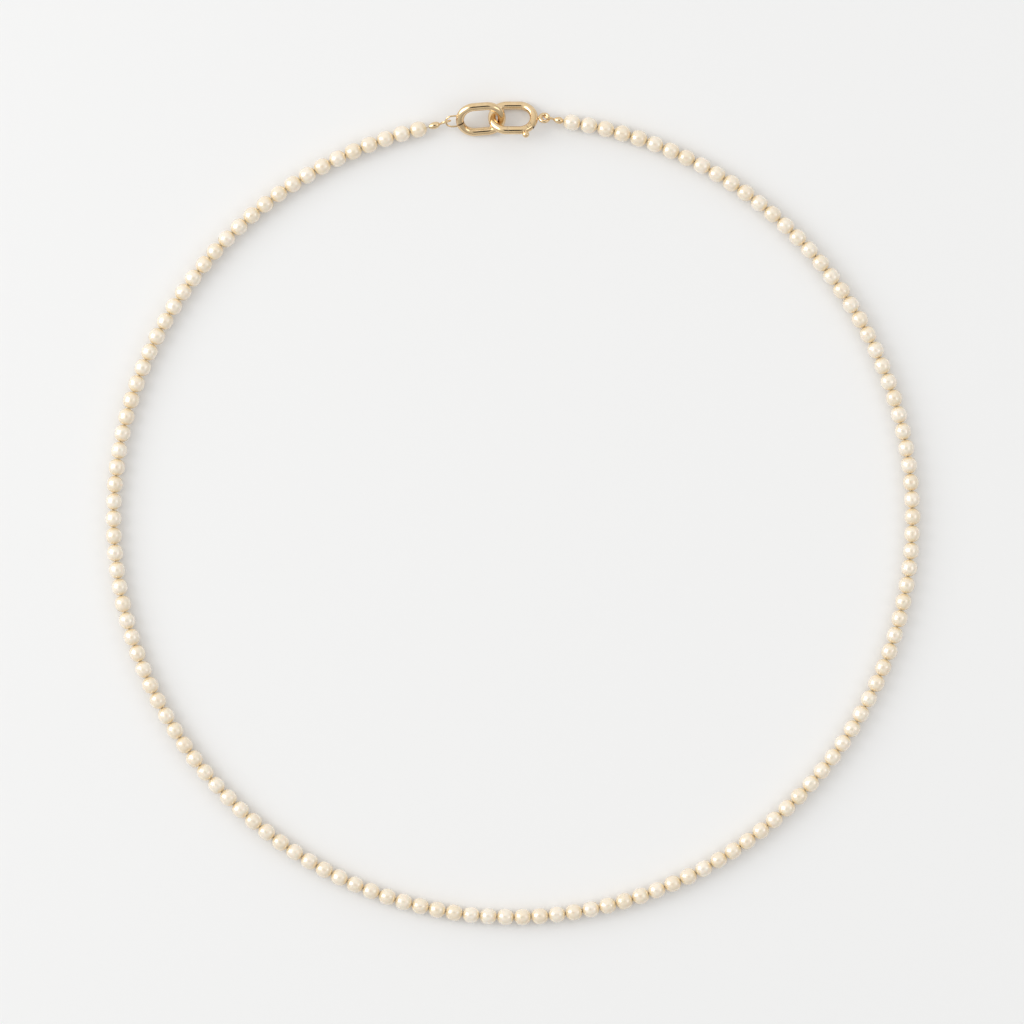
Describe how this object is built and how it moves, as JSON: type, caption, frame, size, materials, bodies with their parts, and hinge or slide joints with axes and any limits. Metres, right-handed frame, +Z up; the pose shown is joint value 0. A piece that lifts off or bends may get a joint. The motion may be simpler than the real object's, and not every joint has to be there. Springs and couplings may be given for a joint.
{
  "type": "pearl necklace",
  "caption": "Single strand of small round pearls on silk thread, closed by two interlocked oval links, one of them a clasp with a sprung gate.",
  "frame": {"origin": "centre of the necklace's outline, on the surface it lies on", "axes": "+Z up from that surface, +Y from the loop's centre to the clasp, +X to the viewer's right with the clasp at the top"},
  "size_m": [0.1424, 0.1438, 0.0046],
  "materials": {
    "pearl_nacre": "lustrous cream nacre",
    "gold_plate": "polished pale gold plate",
    "spring_steel": "bright rolled strip",
    "silk_thread": "twisted silk"
  },
  "bodies": {
    "clasp": {"clasp_body": "gold_plate", "clasp_eye": "gold_plate", "gate_pin": "gold_plate", "gate_spring": "spring_steel"},
    "gate": {"clasp_gate": "gold_plate", "gate_knob": "gold_plate"},
    "strand_end_right": {"bead_tip_right": "gold_plate", "end_knot_right": "silk_thread", "pearl_run_01": "pearl_nacre"},
    "run_02": {"pearl_run_02": "pearl_nacre"},
    "run_03": {"pearl_run_03": "pearl_nacre"},
    "run_04": {"pearl_run_04": "pearl_nacre"},
    "run_05": {"pearl_run_05": "pearl_nacre"},
    "run_06": {"pearl_run_06": "pearl_nacre"},
    "run_07": {"pearl_run_07": "pearl_nacre"},
    "run_08": {"pearl_run_08": "pearl_nacre"},
    "run_09": {"pearl_run_09": "pearl_nacre"},
    "run_10": {"pearl_run_10": "pearl_nacre"},
    "run_11": {"pearl_run_11": "pearl_nacre"},
    "run_12": {"pearl_run_12": "pearl_nacre"},
    "run_13": {"pearl_run_13": "pearl_nacre"},
    "run_14": {"pearl_run_14": "pearl_nacre"},
    "run_15": {"pearl_run_15": "pearl_nacre"},
    "run_16": {"pearl_run_16": "pearl_nacre"},
    "run_17": {"pearl_run_17": "pearl_nacre"},
    "run_18": {"pearl_run_18": "pearl_nacre"},
    "run_19": {"pearl_run_19": "pearl_nacre"},
    "run_20": {"pearl_run_20": "pearl_nacre"},
    "run_21": {"pearl_run_21": "pearl_nacre"},
    "run_22": {"pearl_run_22": "pearl_nacre"},
    "run_23": {"pearl_run_23": "pearl_nacre"},
    "run_24": {"pearl_run_24": "pearl_nacre"},
    "run_25": {"pearl_run_25": "pearl_nacre"},
    "run_26": {"pearl_run_26": "pearl_nacre"},
    "run_27": {"pearl_run_27": "pearl_nacre"},
    "run_28": {"pearl_run_28": "pearl_nacre"},
    "run_29": {"pearl_run_29": "pearl_nacre"},
    "run_30": {"pearl_run_30": "pearl_nacre"},
    "run_31": {"pearl_run_31": "pearl_nacre"},
    "run_32": {"pearl_run_32": "pearl_nacre"},
    "run_33": {"pearl_run_33": "pearl_nacre"},
    "run_34": {"pearl_run_34": "pearl_nacre"},
    "run_35": {"pearl_run_35": "pearl_nacre"},
    "run_36": {"pearl_run_36": "pearl_nacre"},
    "run_37": {"pearl_run_37": "pearl_nacre"},
    "run_38": {"pearl_run_38": "pearl_nacre"},
    "run_39": {"pearl_run_39": "pearl_nacre"},
    "run_40": {"pearl_run_40": "pearl_nacre"},
    "run_41": {"pearl_run_41": "pearl_nacre"},
    "run_42": {"pearl_run_42": "pearl_nacre"},
    "run_43": {"pearl_run_43": "pearl_nacre"},
    "run_44": {"pearl_run_44": "pearl_nacre"},
    "run_45": {"pearl_run_45": "pearl_nacre"},
    "strand_end_left": {"pearl_run_46": "pearl_nacre", "end_knot_left": "silk_thread", "bead_tip_left": "gold_plate"},
    "anchor": {"anchor_loop": "gold_plate", "anchor_link": "gold_plate"}
  },
  "joints": [
    {"name": "strand_flex", "type": "hinge", "parent": "clasp", "child": "strand_end_right", "pos_m": [0.00581, 0.06873, 0.00148], "axis": [0, 0, 1], "range_deg": [-6, 6]},
    {"name": "flex_02", "type": "hinge", "parent": "strand_end_right", "child": "run_02", "pos_m": [0.01471, 0.0674, 0.00148], "axis": [0, 0, 1], "range_deg": [-5.73, 5.73]},
    {"name": "flex_03", "type": "hinge", "parent": "run_02", "child": "run_03", "pos_m": [0.02336, 0.06494, 0.00148], "axis": [0, 0, 1], "range_deg": [-4.88, 4.88]},
    {"name": "flex_04", "type": "hinge", "parent": "run_03", "child": "run_04", "pos_m": [0.03162, 0.06139, 0.00148], "axis": [0, 0, 1], "range_deg": [-3.71, 3.71]},
    {"name": "flex_05", "type": "hinge", "parent": "run_04", "child": "run_05", "pos_m": [0.03936, 0.0568, 0.00148], "axis": [0, 0, 1], "range_deg": [-2.29, 2.29]},
    {"name": "flex_06", "type": "hinge", "parent": "run_05", "child": "run_06", "pos_m": [0.04644, 0.05126, 0.00148], "axis": [0, 0, 1], "range_deg": [-0.72, 0.72]},
    {"name": "flex_07", "type": "hinge", "parent": "run_06", "child": "run_07", "pos_m": [0.05274, 0.04484, 0.00148], "axis": [0, 0, 1], "range_deg": [-0.93, 0.93]},
    {"name": "flex_08", "type": "hinge", "parent": "run_07", "child": "run_08", "pos_m": [0.05817, 0.03767, 0.00148], "axis": [0, 0, 1], "range_deg": [-2.48, 2.48]},
    {"name": "flex_09", "type": "hinge", "parent": "run_08", "child": "run_09", "pos_m": [0.06263, 0.02986, 0.00148], "axis": [0, 0, 1], "range_deg": [-3.87, 3.87]},
    {"name": "flex_10", "type": "hinge", "parent": "run_09", "child": "run_10", "pos_m": [0.06605, 0.02155, 0.00148], "axis": [0, 0, 1], "range_deg": [-5.01, 5.01]},
    {"name": "flex_11", "type": "hinge", "parent": "run_10", "child": "run_11", "pos_m": [0.06837, 0.01286, 0.00148], "axis": [0, 0, 1], "range_deg": [-5.81, 5.81]},
    {"name": "flex_12", "type": "hinge", "parent": "run_11", "child": "run_12", "pos_m": [0.06955, 0.00394, 0.00148], "axis": [0, 0, 1], "range_deg": [-6.23, 6.23]},
    {"name": "flex_13", "type": "hinge", "parent": "run_12", "child": "run_13", "pos_m": [0.06958, -0.00505, 0.00148], "axis": [0, 0, 1], "range_deg": [-7.28, 7.28]},
    {"name": "flex_14", "type": "hinge", "parent": "run_13", "child": "run_14", "pos_m": [0.06781, -0.01691, 0.00148], "axis": [0, 0, 1], "range_deg": [-6.55, 6.55]},
    {"name": "flex_15", "type": "hinge", "parent": "run_14", "child": "run_15", "pos_m": [0.06516, -0.0255, 0.00148], "axis": [0, 0, 1], "range_deg": [-4.71, 4.71]},
    {"name": "flex_16", "type": "hinge", "parent": "run_15", "child": "run_16", "pos_m": [0.06143, -0.03369, 0.00148], "axis": [0, 0, 1], "range_deg": [-3.49, 3.49]},
    {"name": "flex_17", "type": "hinge", "parent": "run_16", "child": "run_17", "pos_m": [0.05668, -0.04132, 0.00148], "axis": [0, 0, 1], "range_deg": [-2.04, 2.04]},
    {"name": "flex_18", "type": "hinge", "parent": "run_17", "child": "run_18", "pos_m": [0.05098, -0.04828, 0.00148], "axis": [0, 0, 1], "range_deg": [-0.458, 0.458]},
    {"name": "flex_19", "type": "hinge", "parent": "run_18", "child": "run_19", "pos_m": [0.04443, -0.05445, 0.00148], "axis": [0, 0, 1], "range_deg": [-1.19, 1.19]},
    {"name": "flex_20", "type": "hinge", "parent": "run_19", "child": "run_20", "pos_m": [0.03715, -0.05972, 0.00148], "axis": [0, 0, 1], "range_deg": [-2.73, 2.73]},
    {"name": "flex_21", "type": "hinge", "parent": "run_20", "child": "run_21", "pos_m": [0.02925, -0.06401, 0.00148], "axis": [0, 0, 1], "range_deg": [-4.08, 4.08]},
    {"name": "flex_22", "type": "hinge", "parent": "run_21", "child": "run_22", "pos_m": [0.02086, -0.06725, 0.00148], "axis": [0, 0, 1], "range_deg": [-5.17, 5.17]},
    {"name": "flex_23", "type": "hinge", "parent": "run_22", "child": "run_23", "pos_m": [0.01212, -0.06938, 0.00148], "axis": [0, 0, 1], "range_deg": [-5.91, 5.91]},
    {"name": "flex_24", "type": "hinge", "parent": "run_23", "child": "run_24", "pos_m": [0.00318, -0.07037, 0.00148], "axis": [0, 0, 1], "range_deg": [-6.26, 6.26]},
    {"name": "flex_25", "type": "hinge", "parent": "run_24", "child": "run_25", "pos_m": [-0.00581, -0.0702, 0.00148], "axis": [0, 0, 1], "range_deg": [-6.2, 6.2]},
    {"name": "flex_26", "type": "hinge", "parent": "run_25", "child": "run_26", "pos_m": [-0.01471, -0.06888, 0.00148], "axis": [0, 0, 1], "range_deg": [-5.73, 5.73]},
    {"name": "flex_27", "type": "hinge", "parent": "run_26", "child": "run_27", "pos_m": [-0.02336, -0.06642, 0.00148], "axis": [0, 0, 1], "range_deg": [-4.88, 4.88]},
    {"name": "flex_28", "type": "hinge", "parent": "run_27", "child": "run_28", "pos_m": [-0.03162, -0.06286, 0.00148], "axis": [0, 0, 1], "range_deg": [-3.71, 3.71]},
    {"name": "flex_29", "type": "hinge", "parent": "run_28", "child": "run_29", "pos_m": [-0.03936, -0.05827, 0.00148], "axis": [0, 0, 1], "range_deg": [-2.29, 2.29]},
    {"name": "flex_30", "type": "hinge", "parent": "run_29", "child": "run_30", "pos_m": [-0.04644, -0.05273, 0.00148], "axis": [0, 0, 1], "range_deg": [-0.72, 0.72]},
    {"name": "flex_31", "type": "hinge", "parent": "run_30", "child": "run_31", "pos_m": [-0.05274, -0.04632, 0.00148], "axis": [0, 0, 1], "range_deg": [-0.93, 0.93]},
    {"name": "flex_32", "type": "hinge", "parent": "run_31", "child": "run_32", "pos_m": [-0.05817, -0.03915, 0.00148], "axis": [0, 0, 1], "range_deg": [-2.48, 2.48]},
    {"name": "flex_33", "type": "hinge", "parent": "run_32", "child": "run_33", "pos_m": [-0.06263, -0.03134, 0.00148], "axis": [0, 0, 1], "range_deg": [-3.87, 3.87]},
    {"name": "flex_34", "type": "hinge", "parent": "run_33", "child": "run_34", "pos_m": [-0.06605, -0.02302, 0.00148], "axis": [0, 0, 1], "range_deg": [-5.01, 5.01]},
    {"name": "flex_35", "type": "hinge", "parent": "run_34", "child": "run_35", "pos_m": [-0.06837, -0.01433, 0.00148], "axis": [0, 0, 1], "range_deg": [-5.81, 5.81]},
    {"name": "flex_36", "type": "hinge", "parent": "run_35", "child": "run_36", "pos_m": [-0.06955, -0.00541, 0.00148], "axis": [0, 0, 1], "range_deg": [-6.23, 6.23]},
    {"name": "flex_37", "type": "hinge", "parent": "run_36", "child": "run_37", "pos_m": [-0.06958, 0.00358, 0.00148], "axis": [0, 0, 1], "range_deg": [-7.28, 7.28]},
    {"name": "flex_38", "type": "hinge", "parent": "run_37", "child": "run_38", "pos_m": [-0.06781, 0.01544, 0.00148], "axis": [0, 0, 1], "range_deg": [-6.55, 6.55]},
    {"name": "flex_39", "type": "hinge", "parent": "run_38", "child": "run_39", "pos_m": [-0.06516, 0.02403, 0.00148], "axis": [0, 0, 1], "range_deg": [-4.71, 4.71]},
    {"name": "flex_40", "type": "hinge", "parent": "run_39", "child": "run_40", "pos_m": [-0.06143, 0.03221, 0.00148], "axis": [0, 0, 1], "range_deg": [-3.49, 3.49]},
    {"name": "flex_41", "type": "hinge", "parent": "run_40", "child": "run_41", "pos_m": [-0.05668, 0.03985, 0.00148], "axis": [0, 0, 1], "range_deg": [-2.04, 2.04]},
    {"name": "flex_42", "type": "hinge", "parent": "run_41", "child": "run_42", "pos_m": [-0.05098, 0.04681, 0.00148], "axis": [0, 0, 1], "range_deg": [-0.458, 0.458]},
    {"name": "flex_43", "type": "hinge", "parent": "run_42", "child": "run_43", "pos_m": [-0.04443, 0.05298, 0.00148], "axis": [0, 0, 1], "range_deg": [-1.19, 1.19]},
    {"name": "flex_44", "type": "hinge", "parent": "run_43", "child": "run_44", "pos_m": [-0.03715, 0.05825, 0.00148], "axis": [0, 0, 1], "range_deg": [-2.73, 2.73]},
    {"name": "flex_45", "type": "hinge", "parent": "run_44", "child": "run_45", "pos_m": [-0.02925, 0.06254, 0.00148], "axis": [0, 0, 1], "range_deg": [-4.08, 4.08]},
    {"name": "flex_46", "type": "hinge", "parent": "run_45", "child": "strand_end_left", "pos_m": [-0.02086, 0.06578, 0.00148], "axis": [0, 0, 1], "range_deg": [-5.17, 5.17]},
    {"name": "loop_hook", "type": "hinge", "parent": "strand_end_left", "child": "anchor", "pos_m": [-0.01212, 0.06791, 0.00148], "axis": [0, 0, 1], "range_deg": [-5.91, 5.91]},
    {"name": "gate_hinge", "type": "hinge", "parent": "clasp", "child": "gate", "pos_m": [0.00299, 0.06747, 0.0029], "axis": [0, -0.5, -0.866], "range_deg": [0, 25], "stiffness_Nm_per_rad": 0.002, "springref_deg": -17.19}
  ],
  "couplings": [
    {"joint": "flex_02", "follows": "strand_flex", "ratio": 0.92379},
    {"joint": "flex_03", "follows": "strand_flex", "ratio": 0.78632},
    {"joint": "flex_04", "follows": "strand_flex", "ratio": 0.59669},
    {"joint": "flex_05", "follows": "strand_flex", "ratio": 0.36748},
    {"joint": "flex_06", "follows": "strand_flex", "ratio": 0.1139},
    {"joint": "flex_07", "follows": "strand_flex", "ratio": -0.14725},
    {"joint": "flex_08", "follows": "strand_flex", "ratio": -0.39866},
    {"joint": "flex_09", "follows": "strand_flex", "ratio": -0.62365},
    {"joint": "flex_10", "follows": "strand_flex", "ratio": -0.8073},
    {"joint": "flex_11", "follows": "strand_flex", "ratio": -0.93744},
    {"joint": "flex_12", "follows": "strand_flex", "ratio": -1.0054},
    {"joint": "flex_13", "follows": "strand_flex", "ratio": -1.1746},
    {"joint": "flex_14", "follows": "strand_flex", "ratio": -1.0563},
    {"joint": "flex_15", "follows": "strand_flex", "ratio": -0.75849},
    {"joint": "flex_16", "follows": "strand_flex", "ratio": -0.56131},
    {"joint": "flex_17", "follows": "strand_flex", "ratio": -0.32693},
    {"joint": "flex_18", "follows": "strand_flex", "ratio": -0.070889},
    {"joint": "flex_19", "follows": "strand_flex", "ratio": 0.18984},
    {"joint": "flex_20", "follows": "strand_flex", "ratio": 0.43796},
    {"joint": "flex_21", "follows": "strand_flex", "ratio": 0.65704},
    {"joint": "flex_22", "follows": "strand_flex", "ratio": 0.83253},
    {"joint": "flex_23", "follows": "strand_flex", "ratio": 0.9528},
    {"joint": "flex_24", "follows": "strand_flex", "ratio": 1.0099},
    {"joint": "flex_25", "follows": "strand_flex", "ratio": 1},
    {"joint": "flex_26", "follows": "strand_flex", "ratio": 0.92379},
    {"joint": "flex_27", "follows": "strand_flex", "ratio": 0.78632},
    {"joint": "flex_28", "follows": "strand_flex", "ratio": 0.59669},
    {"joint": "flex_29", "follows": "strand_flex", "ratio": 0.36748},
    {"joint": "flex_30", "follows": "strand_flex", "ratio": 0.1139},
    {"joint": "flex_31", "follows": "strand_flex", "ratio": -0.14725},
    {"joint": "flex_32", "follows": "strand_flex", "ratio": -0.39866},
    {"joint": "flex_33", "follows": "strand_flex", "ratio": -0.62365},
    {"joint": "flex_34", "follows": "strand_flex", "ratio": -0.8073},
    {"joint": "flex_35", "follows": "strand_flex", "ratio": -0.93744},
    {"joint": "flex_36", "follows": "strand_flex", "ratio": -1.0054},
    {"joint": "flex_37", "follows": "strand_flex", "ratio": -1.1746},
    {"joint": "flex_38", "follows": "strand_flex", "ratio": -1.0563},
    {"joint": "flex_39", "follows": "strand_flex", "ratio": -0.75849},
    {"joint": "flex_40", "follows": "strand_flex", "ratio": -0.56131},
    {"joint": "flex_41", "follows": "strand_flex", "ratio": -0.32693},
    {"joint": "flex_42", "follows": "strand_flex", "ratio": -0.070889},
    {"joint": "flex_43", "follows": "strand_flex", "ratio": 0.18984},
    {"joint": "flex_44", "follows": "strand_flex", "ratio": 0.43796},
    {"joint": "flex_45", "follows": "strand_flex", "ratio": 0.65704},
    {"joint": "flex_46", "follows": "strand_flex", "ratio": 0.83253},
    {"joint": "loop_hook", "follows": "strand_flex", "ratio": 0.9528}
  ]
}
